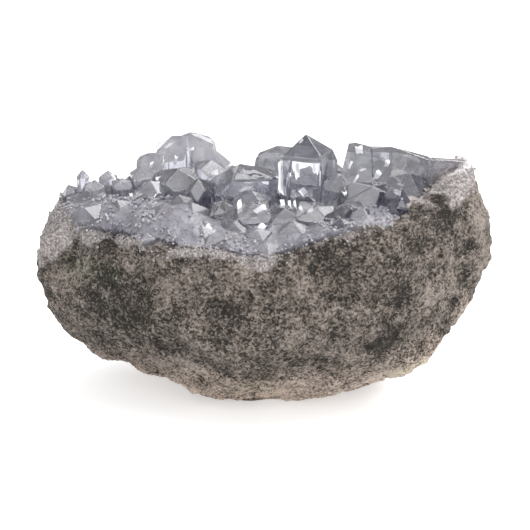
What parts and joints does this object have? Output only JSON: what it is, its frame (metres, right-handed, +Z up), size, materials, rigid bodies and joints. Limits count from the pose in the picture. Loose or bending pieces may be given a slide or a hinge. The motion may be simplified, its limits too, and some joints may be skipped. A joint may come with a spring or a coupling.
{
  "type": "celestite crystal cluster",
  "caption": "Half of a rounded rock nodule, broken open, with pale blue-grey celestite crystals grown together over its broken face. Rests on a flat place under the rock.",
  "frame": {"origin": "on the surface that the rock rests on, under the middle of the specimen's plan", "axes": "+Z up, out of the crystals; +X to the right along the specimen's length; -Y to the front that the picture shows"},
  "size_m": [0.1188, 0.0882, 0.0696],
  "materials": {
    "rock": "rough, grainy, dull",
    "celestite": "clear to cloudy, glassy crystal faces"
  },
  "bodies": {
    "root": {"matrix_rock": "rock", "celestite_crystals": "celestite"}
  },
  "joints": []
}
